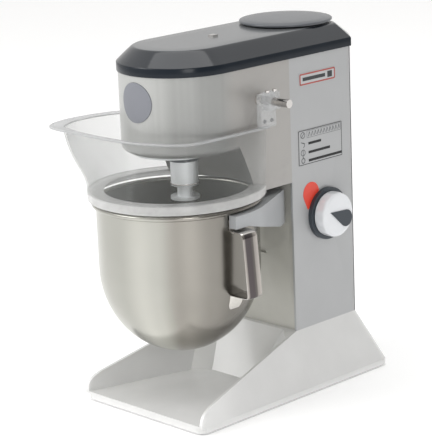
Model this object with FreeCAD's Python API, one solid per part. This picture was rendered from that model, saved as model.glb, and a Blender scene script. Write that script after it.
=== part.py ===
"""Tabletop planetary stand mixer with a lifting bowl, built as separate pieces.

Millimetres. +Z is up, -Y is the front, +X is the side with the speed knob.
Sizes below are given from the machine's middle plane (x = 0), a line 28.7 mm in front
of its column (y = 0) and the surface that it stands on (z = 0). Each piece is moved by
ORIGIN_SHIFT, so that the part's origin is under the middle of its whole box.
"""
import FreeCAD, Part
import math
import os

V = FreeCAD.Vector
ORIGIN_SHIFT = V(14.5, 24.35, 0)

# ---------------------------------------------------------------- main sizes
HALF_WIDTH = 88.6          # column and head, from the middle plane to the side
SKIN = 3.5                 # wall of the cast column and head
COLUMN_FRONT = 28.7
COLUMN_REAR = 159.6
BASE_TOP = 88.6
NECK_FLOOR = 314.0
HEAD_FLOOR = 380.0
HEAD_TOP = 495.0
NOSE_Y = -100.0            # centre of the head's half-round nose
PLUG_RADIUS = 28.5         # round plug in the nose
PLUG_Z = 458.0

# ---------------------------------------------------------------- base
BASE_HALF = 123.0
BASE_FRONT = -204.3
BASE_REAR = 196.0
BASE_WALL = 4.0
RIM_BOTTOM = 2.0
RIM_TOP = 10.0
BASE_TOP_REAR = 166.0
TROUGH_FLOOR = 13.0
TROUGH_REAR = -20.0        # where the floor meets the rear wall of the trough
TROUGH_HALF = 72.0         # half width of the floor at TROUGH_HALF_Y
TROUGH_HALF_Y = -50.0
TROUGH_SPREAD = 0.2905     # floor edge: widening per millimetre towards the front
TROUGH_EDGE = 3.0          # thickness of the ridge round the trough
TROUGH_CORNER = 20.0
TOE_HALF = 119.5           # front ends of the two ridges
TOE_FRONT = -186.0
TOE_TOP = 38.0
# Rounded front end of each ridge, as (y, z) from the rim up to the crest.
TOE_OUTLINE = [(-204.0, 16.5), (-202.6, 22.5), (-199.6, 27.6), (-195, 31.6), (-188.5, 35), (-180, 38.4)]
FOOT_RADIUS = 14.0
FOOT_HEIGHT = 3.0
PLATE = 1.5

# ---------------------------------------------------------------- top cover
COVER_HALF = 90.5
COVER_REAR = 186.0
COVER_CORNER_X = 64.0
COVER_CORNER_Y = 161.0
COVER_BAND_TOP = 508.0
COVER_TOP = 529.0
COVER_INSET = 24.5
COVER_WALL = 2.5
CAP_RADIUS = 69.0
CAP_Y = 118.0
CAP_BOTTOM = 530.5
CAP_TOP = 537.0

# ---------------------------------------------------------------- bowl and yoke
BOWL_Y = -117.3            # the bowl's axis, which is also the planetary axis
BOWL_RADIUS = 116.7
BOWL_WALL = 1.2
BOWL_BOTTOM = 84.3
BOWL_SHOULDER = 212.0      # the wall is straight above this height
BOWL_RIM = 307.5           # centre of the rolled rim
RIM_BEAD = 4.0
RIM_RADIUS = 119.0
HANDLE_WIDTH = 28.0
STRAP = 2.5
YOKE_INNER = 117.6
YOKE_OUTER = 131.0
YOKE_TIP = -131.0
YOKE_TOP = 303.2
YOKE_TIP_BOTTOM = 285.0
YOKE_REAR_BOTTOM = 253.0
YOKE_WEB = 76.0            # half width of the yoke's back, which runs tangent into its arms
YOKE_WEB_REAR = 24.0
LIFT_TRAVEL = 50.0

# ---------------------------------------------------------------- lift
BLOCK_FRONT = 38.0
BLOCK_REAR = 56.0
BLOCK_BOTTOM = 250.0
BLOCK_TOP = 306.0
ROD_X = 45.0
ROD_RADIUS = 6.0
PANEL_FRONT = 32.7         # the recessed plate that closes the column's front
PANEL_REAR = 36.2
RACK_PITCH_Y = 62.0
PINION_TEETH = 24
PINION_MODULE = 2.25
LEVER_X = -104.5
LEVER_Z = 225.0
LEVER_ANGLE = -20.0        # the lever's rest direction below the horizontal
LEVER_LENGTH = 92.0

# ---------------------------------------------------------------- drive
MODULE = 1.75
RING_TEETH = 60
PLANET_TEETH = 20
PLANET_ANGLE = -23.9
FRAME_BOTTOM = 428.0
FRAME_TOP = 436.0
MOTOR_Y = 118.0
MOTOR_RADIUS = 50.0
MOTOR_BOTTOM = 284.0
PULLEY_BOTTOM = 462.0
PULLEY_TOP = 480.0
DRIVE_PULLEY = 49.0
MOTOR_PULLEY = 14.0
SHAFT_TOP = 482.0
CARRIER_SHAFT = 10.0
BEATER_SHAFT = 11.0
RUNNING_FIT = 0.05

# ---------------------------------------------------------------- guard
GUARD_BOTTOM = 316.0
GUARD_BAND_TOP = 326.0
GUARD_TOP = 410.0
GUARD_RADIUS = 128.0
GUARD_BORE = 104.0           # opening in the flat ring over the bowl
GUARD_WALL = 3.0
GUARD_LIP = 6.0
HINGE_Y = -35.0
HINGE_Z = 447.5
HINGE_PIN = 6.0
HINGE_END = 148.0
ARM_INNER = 99.0
ARM_OUTER = 107.0
CLAMP_OUTER = 119.0

# ---------------------------------------------------------------- knob
KNOB_Y = 100.0
KNOB_Z = 254.5
KNOB_RADIUS = 32.0
KNOB_RING = 39.0
KNOB_BACK = 95.4
KNOB_FACE = 113.0

# derived
TOE_SPREAD = (TOE_HALF - HALF_WIDTH) / (COLUMN_FRONT - TOE_FRONT)
TOE_CLIMB = (BASE_TOP - TOE_TOP) / (COLUMN_FRONT - TOE_FRONT)
PINION_RADIUS = PINION_TEETH * PINION_MODULE / 2
LEVER_Y = RACK_PITCH_Y + PINION_RADIUS
PLANET_OFFSET = (RING_TEETH - PLANET_TEETH) * MODULE / 2
PLANET_X = PLANET_OFFSET * math.cos(math.radians(PLANET_ANGLE))
PLANET_Y = BOWL_Y + PLANET_OFFSET * math.sin(math.radians(PLANET_ANGLE))
INNER_HALF = HALF_WIDTH - SKIN


# ---------------------------------------------------------------- helpers
def box(x0, x1, y0, y1, z0, z1):
    return Part.makeBox(x1 - x0, y1 - y0, z1 - z0, V(x0, y0, z0))


def rod(radius, start, end):
    run = V(*end) - V(*start)
    return Part.makeCylinder(radius, run.Length, V(*start), run)


def ring(outer, inner, start, end):
    return rod(outer, start, end).cut(rod(inner, start, end))


def upright(radius, x, y, z0, z1):
    return rod(radius, (x, y, z0), (x, y, z1))


def upright_ring(outer, inner, x, y, z0, z1):
    return ring(outer, inner, (x, y, z0), (x, y, z1))


def plan(points, z0, z1):
    """A polygon of (x, y) points pulled up from z0 to z1."""
    wire = Part.makePolygon([V(x, y, z0) for x, y in points + points[:1]])
    return Part.Face(wire).extrude(V(0, 0, z1 - z0))


def profile(points, x0, x1):
    """A polygon of (y, z) points pulled across from x0 to x1."""
    wire = Part.makePolygon([V(x0, y, z) for y, z in points + points[:1]])
    return Part.Face(wire).extrude(V(x1 - x0, 0, 0))


def front_profile(points, y0, y1):
    """A polygon of (x, z) points pulled back from y0 to y1."""
    wire = Part.makePolygon([V(x, y0, z) for x, z in points + points[:1]])
    return Part.Face(wire).extrude(V(0, y1 - y0, 0))


def level(points, z):
    return [V(x, y, z) for x, y in points]


def wedge(low, high):
    """A solid between two flat loops of points, with ruled sides."""
    return Part.makeLoft([Part.makePolygon(p + p[:1]) for p in (low, high)], True, True)


def rounded_corners(shape, radius, behind=-1000.0):
    """Rounds the edges that climb and lie behind the given y."""
    found = []
    for edge in shape.Edges:
        ends = [v.Point for v in edge.Vertexes]
        climbs = len(ends) == 2 and abs(ends[0].z - ends[1].z) > 5
        if climbs and edge.CenterOfMass.y > behind:
            found.append(edge)
    return shape.makeFillet(radius, found)


def mirrored(shape):
    return shape.mirror(V(0, 0, 0), V(1, 0, 0))


def both_sides(shape):
    return Part.makeCompound([shape, mirrored(shape)])


def save(name, shape):
    shape.removeSplitter().translated(ORIGIN_SHIFT).exportStep("parts/" + name + ".step")


# ---------------------------------------------------------------- base
def loop(half_front, y_front, z_front, half_rear, y_rear, z_rear):
    """Four corners, front left first, of a level or sloping trapezium."""
    return [
        V(-half_front, y_front, z_front), V(half_front, y_front, z_front),
        V(half_rear, y_rear, z_rear), V(-half_rear, y_rear, z_rear),
    ]


def base_block(inset, z0):
    """The base's outer body, moved in by a wall thickness on every side."""
    front = BASE_FRONT + inset
    rear = BASE_REAR - inset
    half = BASE_HALF - inset
    top = BASE_TOP - inset
    top_half = HALF_WIDTH - inset
    knee = COLUMN_FRONT + inset
    corner = max(14.0 - inset, 4.0)
    rim = rounded_corners(
        plan([(-half, front), (half, front), (half, rear), (-half, rear)], z0, RIM_TOP), corner
    )
    back = wedge(
        loop(half, knee, RIM_TOP, half, rear, RIM_TOP),
        loop(top_half, knee, top, top_half, BASE_TOP_REAR - inset, top),
    )
    back = rounded_corners(back, corner, BASE_TOP_REAR - 20)
    past_toe = TOE_FRONT - BASE_FRONT
    toe = wedge(
        loop(half, front, RIM_TOP, half, knee, RIM_TOP),
        loop(
            TOE_HALF - inset + TOE_SPREAD * past_toe, front,
            TOE_TOP - inset - TOE_CLIMB * past_toe, top_half, knee, top,
        ),
    )
    outline = [(y + inset, z - inset) for y, z in TOE_OUTLINE]
    outline = [(front, RIM_TOP)] + outline + [(knee, top + 1), (knee, RIM_TOP)]
    toe = toe.common(profile(outline, -half, half))
    return rim.fuse(back).fuse(toe)


def trough(grow):
    """The hollow that leaves room for the lowered bowl."""
    front = BASE_FRONT - 30
    floor_rear = TROUGH_REAR + grow
    top_rear = COLUMN_FRONT - TROUGH_EDGE + grow
    top_half = HALF_WIDTH - TROUGH_EDGE + grow

    def outline(half, rear, widening, height, fall):
        """Six corners of a plan that widens, and may fall, towards the front."""
        stations = [(front, 0), (rear - TROUGH_CORNER, 0), (rear, TROUGH_CORNER)]
        right = []
        for y, taken in stations:
            right.append(V(half + widening * (rear - y) - taken, y, height - fall * (rear - y)))
        left = [V(-p.x, p.y, p.z) for p in reversed(right)]
        return Part.makePolygon(right + left + right[:1])

    floor_half = TROUGH_HALF + TROUGH_SPREAD * (TROUGH_HALF_Y - floor_rear) + grow
    low = outline(floor_half, floor_rear, TROUGH_SPREAD, TROUGH_FLOOR - grow, 0)
    high = outline(top_half, top_rear, TOE_SPREAD, BASE_TOP + 1, TOE_CLIMB)
    return Part.makeLoft([low, high], True, True)


def base_shell():
    inside = base_block(BASE_WALL, RIM_BOTTOM).cut(trough(BASE_WALL))
    shell = base_block(0, RIM_BOTTOM).cut(trough(0)).cut(inside)
    return shell.cut(rod(8, (-45, 150, 48), (-45, 210, 48)))


def base_plate():
    half = BASE_HALF - BASE_WALL - 4
    plate = box(-half, half, BASE_FRONT + 10, BASE_REAR - 10, FOOT_HEIGHT, FOOT_HEIGHT + PLATE)
    return plate


def foot_places():
    return [(x, y) for x in (-96, 96) for y in (BASE_FRONT + 38, BASE_REAR - 34)]


def rubber_feet():
    feet = []
    for x, y in foot_places():
        feet.append(upright(FOOT_RADIUS, x, y, 0, FOOT_HEIGHT))
    return Part.makeCompound(feet)


def base_studs():
    """Spacers between the bottom plate and the inside of the casting."""
    studs = []
    for x in (-70, 70):
        for y in (60, 140):
            studs.append(upright(5, x, y, FOOT_HEIGHT + PLATE, BASE_TOP - BASE_WALL))
    return Part.makeCompound(studs)


def cable_gland():
    body = ring(8, 3.5, (-45, 172, 48), (-45, 195, 48))
    return body.fuse(ring(11, 3.5, (-45, 186.5, 48), (-45, 192, 48)))


# ---------------------------------------------------------------- column
def column_shell():
    body = box(-HALF_WIDTH, HALF_WIDTH, COLUMN_FRONT, COLUMN_REAR, BASE_TOP, HEAD_TOP)
    body = rounded_corners(body, 3.0, 100)
    inside = box(-INNER_HALF, INNER_HALF, COLUMN_FRONT, COLUMN_REAR - SKIN, BASE_TOP, HEAD_TOP)
    window = box(-72, 72, COLUMN_REAR - 10, COLUMN_REAR + 10, 105, HEAD_TOP - 12)
    knob_hole = rod(5.2, (80, KNOB_Y, KNOB_Z), (95, KNOB_Y, KNOB_Z))
    lever_hole = rod(10, (-95, LEVER_Y, LEVER_Z), (-80, LEVER_Y, LEVER_Z))
    return body.cut(inside).cut(window).cut(knob_hole).cut(lever_hole)


def column_front_plate():
    plate = box(-INNER_HALF, INNER_HALF, PANEL_FRONT, PANEL_REAR, BASE_TOP, NECK_FLOOR)
    slot = box(-27, 27, 0, 60, BLOCK_BOTTOM - LIFT_TRAVEL - 3, YOKE_TOP + 6)
    return plate.cut(slot)


def rear_cover():
    wall = 2.5
    outer = [
        (-HALF_WIDTH, COLUMN_REAR), (HALF_WIDTH, COLUMN_REAR),
        (COVER_CORNER_X - 2, COVER_REAR), (-COVER_CORNER_X + 2, COVER_REAR),
    ]
    inner = [
        (-HALF_WIDTH + 4, COLUMN_REAR), (HALF_WIDTH - 4, COLUMN_REAR),
        (COVER_CORNER_X - 3, COVER_REAR - wall), (-COVER_CORNER_X + 3, COVER_REAR - wall),
    ]
    body = plan(outer, BASE_TOP, HEAD_TOP)
    step = COVER_REAR - BASE_TOP_REAR
    under = profile(
        [(BASE_TOP_REAR, BASE_TOP), (COVER_REAR + 1, BASE_TOP), (COVER_REAR + 1, BASE_TOP + step + 1)],
        -100, 100,
    )
    hollow = plan(inner, BASE_TOP + wall, HEAD_TOP)
    hollow = hollow.cut(under.translated(V(0, 0, wall * 1.5)))
    cover = body.cut(under).cut(hollow)
    for row in range(8):
        height = 150 + 9 * row
        cover = cover.cut(box(-38, 38, COVER_REAR - 8, COVER_REAR + 2, height, height + 3.2))
    return cover


def rear_cover_screws():
    screws = []
    for x in (-52, 52):
        for z in (126, 470):
            screws.append(rod(4, (x, COVER_REAR, z), (x, COVER_REAR + 2.5, z)))
    return Part.makeCompound(screws)


# ---------------------------------------------------------------- head
def nose_plan(half, rear, z0, z1):
    """A plan with straight sides and a half-round nose, pulled up."""
    arc = Part.Arc(V(half, NOSE_Y, z0), V(0, NOSE_Y - half, z0), V(-half, NOSE_Y, z0)).toShape()
    sides = [
        Part.makeLine(V(-half, NOSE_Y, z0), V(-half, rear, z0)),
        Part.makeLine(V(-half, rear, z0), V(half, rear, z0)),
        Part.makeLine(V(half, rear, z0), V(half, NOSE_Y, z0)),
    ]
    return Part.Face(Part.Wire([arc] + sides)).extrude(V(0, 0, z1 - z0))


def neck_block(inset):
    """The throat between the head and the column, hollowed around the bowl."""
    points = [
        (COLUMN_FRONT, NECK_FLOOR + inset),
        (-40 + inset, NECK_FLOOR + inset),
        (-49 + inset, NECK_FLOOR + 8.6 + inset),
        (-80 + inset, HEAD_FLOOR + 13),
        (COLUMN_FRONT, HEAD_FLOOR + 13),
    ]
    half = HALF_WIDTH - inset
    block = profile(points, -half, half)
    low_radius = 113.8 + inset
    high_radius = 96.0 + inset
    bore = Part.makeCone(
        low_radius, high_radius, HEAD_FLOOR + 13 - NECK_FLOOR, V(0, BOWL_Y, NECK_FLOOR)
    )
    return block.cut(bore)


def head_shell():
    outer = nose_plan(HALF_WIDTH, COLUMN_FRONT, HEAD_FLOOR, HEAD_TOP)
    lower = []
    for edge in outer.Edges:
        middle = edge.CenterOfMass
        if abs(middle.z - HEAD_FLOOR) < 0.1 and middle.y < COLUMN_FRONT - 5:
            lower.append(edge)
    outer = outer.makeFillet(10.0, lower)
    inner = nose_plan(INNER_HALF, COLUMN_FRONT, HEAD_FLOOR + SKIN, HEAD_TOP)
    shell = outer.fuse(neck_block(0)).cut(inner).cut(neck_block(SKIN))
    shell = shell.cut(upright(63, 0, BOWL_Y, HEAD_FLOOR - 5, HEAD_FLOOR + 10))
    shell = shell.cut(rod(PLUG_RADIUS + 0.2, (0, -200, PLUG_Z), (0, -150, PLUG_Z)))
    pin_hole = rod(HINGE_PIN, (-100, HINGE_Y, HINGE_Z), (100, HINGE_Y, HINGE_Z))
    return shell.cut(pin_hole)


def nose_plug():
    """A disc that follows the round nose and stands 1 mm proud of it."""
    skin = upright_ring(HALF_WIDTH + 1, HALF_WIDTH - 2.5, 0, NOSE_Y, HEAD_FLOOR, HEAD_TOP)
    return skin.common(rod(PLUG_RADIUS, (0, -200, PLUG_Z), (0, -150, PLUG_Z)))


def cover_plan(inset, z):
    """Outline of the top cover: round nose, straight sides, two rear facets."""
    half = COVER_HALF - inset
    rear = COVER_REAR - inset
    side_end = COVER_CORNER_Y - inset * 0.42
    corner_x = COVER_CORNER_X - inset * 0.42
    points = [
        V(-half, NOSE_Y, z), V(-half, side_end, z), V(-corner_x, rear, z),
        V(corner_x, rear, z), V(half, side_end, z), V(half, NOSE_Y, z),
    ]
    arc = Part.Arc(points[-1], V(0, NOSE_Y - half, z), points[0]).toShape()
    edges = [Part.makeLine(a, b) for a, b in zip(points, points[1:])]
    return Part.Wire(edges + [arc])


def cover_body(wall):
    band = Part.Face(cover_plan(wall, HEAD_TOP)).extrude(V(0, 0, COVER_BAND_TOP - HEAD_TOP - wall / 2))
    crown = Part.makeLoft(
        [
            cover_plan(wall, COVER_BAND_TOP - wall / 2),
            cover_plan(COVER_INSET + wall / 2, COVER_TOP - wall),
        ],
        True, True,
    )
    return band.fuse(crown)


def top_cover():
    body = cover_body(0).cut(cover_body(COVER_WALL))
    slots = []
    for i in range(7):
        y = CAP_Y - 36 + 12 * i
        slots.append(box(-34, 34, y, y + 3, COVER_TOP - 10, COVER_TOP + 5))
    return body.cut(Part.makeCompound(slots))


def vent_cap():
    disc = upright(CAP_RADIUS, 0, CAP_Y, CAP_BOTTOM, CAP_TOP)
    rim = [e for e in disc.Edges if abs(e.CenterOfMass.z - CAP_TOP) < 0.1]
    disc = disc.makeFillet(3.5, rim)
    for turn in range(3):
        angle = math.radians(30 + 120 * turn)
        x = 50 * math.cos(angle)
        y = CAP_Y + 50 * math.sin(angle)
        disc = disc.fuse(upright(5, x, y, COVER_TOP, CAP_BOTTOM + 1))
    return disc


def cover_fastener():
    return box(-5, 5, -38, -28, COVER_TOP, COVER_TOP + 2.5)


def frame_plate():
    plate = box(-80, 80, -95, 150, FRAME_BOTTOM, FRAME_TOP)
    plate = plate.fuse(box(-40, 40, -160, -95, FRAME_BOTTOM, FRAME_TOP))
    plate = plate.cut(upright(24, 0, BOWL_Y, FRAME_BOTTOM, FRAME_TOP))
    return plate.cut(upright(12, 0, MOTOR_Y, FRAME_BOTTOM, FRAME_TOP))


def frame_posts():
    posts = []
    for x in (-74, 74):
        for y in (-30, 15):
            posts.append(upright(6, x, y, HEAD_FLOOR + SKIN, FRAME_BOTTOM))
    return Part.makeCompound(posts)


# ---------------------------------------------------------------- gears
def tooth_points(teeth, module, phase, inward):
    """Four points a tooth: root, flank, flank, root, with plain straight flanks."""
    pitch_radius = teeth * module / 2
    out = -1 if inward else 1
    tip = pitch_radius + out * 0.7 * module
    root = pitch_radius - out * 1.1 * module
    step = 2 * math.pi / teeth
    points = []
    for tooth in range(teeth):
        middle = math.radians(phase) + tooth * step
        for share, radius in ((-0.27, root), (-0.11, tip), (0.11, tip), (0.27, root)):
            angle = middle + share * step
            points.append((radius * math.cos(angle), radius * math.sin(angle)))
    return points


def ring_gear():
    """Internal gear with a gap where the planet's tooth meets it."""
    phase = PLANET_ANGLE + 180.0 / RING_TEETH
    void = plan(tooth_points(RING_TEETH, MODULE, phase, True), 401, 415)
    void.translate(V(0, BOWL_Y, 0))
    return upright(60, 0, BOWL_Y, 401, 415).cut(void)


def planet_gear():
    gear = plan(tooth_points(PLANET_TEETH, MODULE, PLANET_ANGLE, False), 402, 414)
    gear.translate(V(PLANET_X, PLANET_Y, 0))
    return gear.cut(upright(BEATER_SHAFT, PLANET_X, PLANET_Y, 400, 416))


def gearbox_housing():
    body = upright(66, 0, BOWL_Y, HEAD_FLOOR + SKIN, FRAME_BOTTOM)
    body = body.cut(upright(60, 0, BOWL_Y, HEAD_FLOOR, 418))
    body = body.fuse(upright(24, 0, BOWL_Y, FRAME_BOTTOM, 454))
    return body.cut(upright(16, 0, BOWL_Y, 417, 456))


def carrier_bearings():
    races = []
    for z in (419, 442):
        races.append(upright_ring(16, CARRIER_SHAFT + RUNNING_FIT, 0, BOWL_Y, z, z + 11))
    return Part.makeCompound(races)


def planet_carrier():
    disc = upright(58, 0, BOWL_Y, 376, 396)
    boss = upright(19.5, PLANET_X, PLANET_Y, 336, 376)
    return disc.fuse(boss).cut(upright(13.5, PLANET_X, PLANET_Y, 330, 400))


def carrier_shaft():
    return upright(CARRIER_SHAFT, 0, BOWL_Y, 396, SHAFT_TOP)


def beater_bushes():
    bushes = []
    for z in (338, 380):
        bushes.append(
            upright_ring(13.5, BEATER_SHAFT + RUNNING_FIT, PLANET_X, PLANET_Y, z, z + 14)
        )
    return Part.makeCompound(bushes)


def beater_shaft():
    return upright(BEATER_SHAFT, PLANET_X, PLANET_Y, 320, 418)


def coupling_disc():
    return upright(20.5, PLANET_X, PLANET_Y, 316, 320)


def pulley(radius, bore, y):
    body = upright(radius, 0, y, PULLEY_BOTTOM, PULLEY_TOP)
    for z in (PULLEY_BOTTOM, PULLEY_TOP - 1.5):
        body = body.fuse(upright(radius + 2, 0, y, z, z + 1.5))
    return body.cut(upright(bore, 0, y, PULLEY_BOTTOM, PULLEY_TOP))


def belt_outline(grow, z0, z1):
    """The plan inside a belt that runs round both pulleys."""
    big = DRIVE_PULLEY + grow
    small = MOTOR_PULLEY + grow
    lean = math.asin((big - small) / (MOTOR_Y - BOWL_Y))
    points = []
    for radius, y, side in ((big, BOWL_Y, 1), (small, MOTOR_Y, 1),
                            (small, MOTOR_Y, -1), (big, BOWL_Y, -1)):
        points.append((side * radius * math.cos(lean), y + radius * math.sin(lean)))
    body = plan(points, z0, z1)
    body = body.fuse(upright(big, 0, BOWL_Y, z0, z1))
    return body.fuse(upright(small, 0, MOTOR_Y, z0, z1))


def drive_belt():
    z0 = PULLEY_BOTTOM + 2.5
    z1 = PULLEY_TOP - 2.5
    return belt_outline(3.0, z0, z1).cut(belt_outline(0.4, z0, z1))


def motor_body():
    body = upright(MOTOR_RADIUS, 0, MOTOR_Y, MOTOR_BOTTOM, FRAME_BOTTOM - 4)
    return body.cut(upright(8, 0, MOTOR_Y, 300, FRAME_BOTTOM))


def motor_mount():
    plate = box(-56, 56, MOTOR_Y - 50, MOTOR_Y + 50, FRAME_BOTTOM - 4, FRAME_BOTTOM)
    plate = plate.cut(upright(12, 0, MOTOR_Y, 400, 440))
    return plate.common(box(-100, 100, 0, COLUMN_REAR - SKIN - 0.5, 400, 440))


def motor_shaft():
    return upright(8 - RUNNING_FIT, 0, MOTOR_Y, 301, SHAFT_TOP)


def control_board():
    board = box(-80, -78, 60, 140, 300, 400)
    for row in range(3):
        z = 315 + 28 * row
        board = board.fuse(box(-78, -64, 72, 92, z, z + 18))
    return board


def board_posts():
    posts = []
    for y in (66, 134):
        for z in (306, 394):
            posts.append(rod(3, (-INNER_HALF, y, z), (-80, y, z)))
    return Part.makeCompound(posts)


# ---------------------------------------------------------------- bowl
def dome(radius, height, top):
    """Half an ellipsoid under a straight cylinder, on the bowl's axis."""
    ellipse = Part.Ellipse(
        V(0, 0, BOWL_SHOULDER - height), V(radius, 0, BOWL_SHOULDER), V(0, 0, BOWL_SHOULDER)
    )
    arc = Part.ArcOfEllipse(ellipse, 0, math.pi / 2).toShape()
    bottom = V(0, 0, BOWL_SHOULDER - height)
    side = V(radius, 0, BOWL_SHOULDER)
    lines = [
        Part.makeLine(side, V(radius, 0, top)),
        Part.makeLine(V(radius, 0, top), V(0, 0, top)),
        Part.makeLine(V(0, 0, top), bottom),
    ]
    face = Part.Face(Part.Wire(Part.__sortEdges__([arc] + lines)))
    solid = face.revolve(V(0, 0, 0), V(0, 0, 1), 360)
    solid.translate(V(0, BOWL_Y, 0))
    return solid


def bowl_outside():
    return dome(BOWL_RADIUS, BOWL_SHOULDER - BOWL_BOTTOM, BOWL_RIM)


def bowl():
    depth = BOWL_SHOULDER - BOWL_BOTTOM - BOWL_WALL
    shell = bowl_outside().cut(dome(BOWL_RADIUS - BOWL_WALL, depth, BOWL_RIM + 1))
    bead = Part.makeTorus(RIM_RADIUS, RIM_BEAD, V(0, BOWL_Y, BOWL_RIM))
    return shell.fuse(bead)


def bowl_handles():
    """A strap loop each side, welded to the wall under the rim."""
    top = YOKE_TIP_BOTTOM - 3.0
    bottom = 185.0
    reach_top = 143.0
    reach_bottom = 151.0
    outer = [(100, top), (reach_top, top), (reach_bottom, bottom), (100, bottom)]
    inner = [
        (90, top - STRAP), (reach_top - STRAP, top - STRAP),
        (reach_bottom - STRAP, bottom + STRAP), (90, bottom + STRAP),
    ]
    y0 = BOWL_Y - HANDLE_WIDTH / 2
    strap = front_profile(outer, y0, y0 + HANDLE_WIDTH)
    strap = strap.cut(front_profile(inner, y0 - 1, y0 + HANDLE_WIDTH + 1))
    strap = strap.cut(bowl_outside())
    return both_sides(strap)


# ---------------------------------------------------------------- yoke and lift
def yoke():
    height = YOKE_TOP - YOKE_REAR_BOTTOM
    z0 = YOKE_REAR_BOTTOM
    outer = upright(YOKE_OUTER, 0, BOWL_Y, z0, YOKE_TOP)
    outer = outer.common(box(-200, 200, BOWL_Y, 200, z0, YOKE_TOP))
    outer = outer.fuse(box(-YOKE_OUTER, YOKE_OUTER, YOKE_TIP, BOWL_Y, z0, YOKE_TOP))
    cheeks = [
        (-YOKE_WEB, YOKE_WEB_REAR), (YOKE_WEB, YOKE_WEB_REAR), (117.2, -58.8), (-117.2, -58.8),
    ]
    outer = outer.fuse(plan(cheeks, z0, YOKE_TOP))
    outer = outer.fuse(box(-62, 62, -40, COLUMN_FRONT - 0.4, z0, YOKE_TOP))
    inner = upright(YOKE_INNER, 0, BOWL_Y, z0, YOKE_TOP)
    inner = inner.fuse(box(-YOKE_INNER, YOKE_INNER, YOKE_TIP - 10, BOWL_Y, z0, YOKE_TOP))
    side = profile(
        [
            (YOKE_TIP, YOKE_TOP), (YOKE_TIP, YOKE_TIP_BOTTOM), (-105, YOKE_TIP_BOTTOM),
            (5, z0), (COLUMN_FRONT, z0), (COLUMN_FRONT, z0 + height),
        ],
        -200, 200,
    )
    arms = outer.cut(inner).common(side)
    neck = box(-26, 26, COLUMN_FRONT - 2, BLOCK_FRONT, BLOCK_BOTTOM + 4, YOKE_TOP)
    return arms.fuse(neck)


def slide_block():
    block = box(-60, 60, BLOCK_FRONT, BLOCK_REAR, BLOCK_BOTTOM, BLOCK_TOP)
    middle = (BLOCK_FRONT + BLOCK_REAR) / 2
    for x in (-ROD_X, ROD_X):
        block = block.cut(upright(ROD_RADIUS + RUNNING_FIT, x, middle, 200, 400))
    return block


def guide_rods():
    middle = (BLOCK_FRONT + BLOCK_REAR) / 2
    return both_sides(upright(ROD_RADIUS, ROD_X, middle, 96, 354))


def rod_brackets():
    brackets = []
    for z in (96, 340):
        brackets.append(box(-60, 60, PANEL_REAR, BLOCK_REAR, z, z + 14))
    return Part.makeCompound([b.cut(guide_rods()) for b in brackets])


def rack():
    """Teeth on the back of the slide block, with a gap at the lever's height."""
    pitch = math.pi * PINION_MODULE
    root = RACK_PITCH_Y - 1.1 * PINION_MODULE
    tip = RACK_PITCH_Y + 0.7 * PINION_MODULE
    bottom = LEVER_Z - 3 * pitch
    points = [(BLOCK_REAR, bottom)]
    for tooth in range(11):
        middle = bottom + (tooth + 0.5) * pitch
        for share, y in ((-0.27, root), (-0.11, tip), (0.11, tip), (0.27, root)):
            points.append((y, middle + share * pitch))
    points.append((BLOCK_REAR, bottom + 11 * pitch))
    return profile(points, -8, 8)


def lift_pinion():
    teeth = tooth_points(PINION_TEETH, PINION_MODULE, 180, False)
    gear = profile(teeth, -8, 8)
    gear.translate(V(0, LEVER_Y, LEVER_Z))
    return gear.cut(rod(7, (-20, LEVER_Y, LEVER_Z), (20, LEVER_Y, LEVER_Z)))


def lever_shaft():
    return rod(7, (-97, LEVER_Y, LEVER_Z), (12, LEVER_Y, LEVER_Z))


def lever_bushing():
    sleeve = ring(
        10, 7 + RUNNING_FIT, (-92, LEVER_Y, LEVER_Z), (-72, LEVER_Y, LEVER_Z)
    )
    return sleeve.fuse(
        ring(15, 7 + RUNNING_FIT, (-92, LEVER_Y, LEVER_Z), (-HALF_WIDTH, LEVER_Y, LEVER_Z))
    )


def along_lever(distance):
    angle = math.radians(LEVER_ANGLE)
    return LEVER_X, LEVER_Y + distance * math.cos(angle), LEVER_Z + distance * math.sin(angle)


def lever_arm():
    hub = rod(13, (-110, LEVER_Y, LEVER_Z), (-92.5, LEVER_Y, LEVER_Z))
    hub = hub.cut(rod(7, (-97, LEVER_Y, LEVER_Z), (-90, LEVER_Y, LEVER_Z)))
    return hub.fuse(rod(4.5, along_lever(9), along_lever(LEVER_LENGTH)))


def lever_knob():
    ball = Part.makeSphere(12, V(*along_lever(LEVER_LENGTH)))
    return ball.cut(lever_arm())


# ---------------------------------------------------------------- guard
def guard_rim_points():
    """Top edge of the clear guard; the filling chute bulges out on the left."""
    return [
        (104, -30), (103, -129), (100, -176), (84, -194), (51, -211), (10, -223),
        (-115, -223), (-165, -204), (-180, -151), (-172, -110), (-160, -77), (-104, -30),
    ]


def guard_ring_points():
    """The round lower edge, at the same bearings from the bowl's axis as the rim."""
    points = []
    for x, y in guard_rim_points():
        angle = math.atan2(y - BOWL_Y, x)
        points.append((GUARD_RADIUS * math.cos(angle), BOWL_Y + GUARD_RADIUS * math.sin(angle)))
    return points


def moved_in(points, distance):
    """The polygon with every side moved inwards by a distance."""
    count = len(points)
    moved = []
    for i in range(count):
        before = V(*points[i - 1], 0)
        here = V(*points[i], 0)
        after = V(*points[(i + 1) % count], 0)
        first = (here - before).normalize()
        second = (after - here).normalize()
        normal = V(first.y + second.y, -first.x - second.x, 0).normalize()
        stretch = normal.dot(V(first.y, -first.x, 0))
        shift = normal * (distance / stretch)
        moved.append((here.x + shift.x, here.y + shift.y))
    return moved


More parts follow.
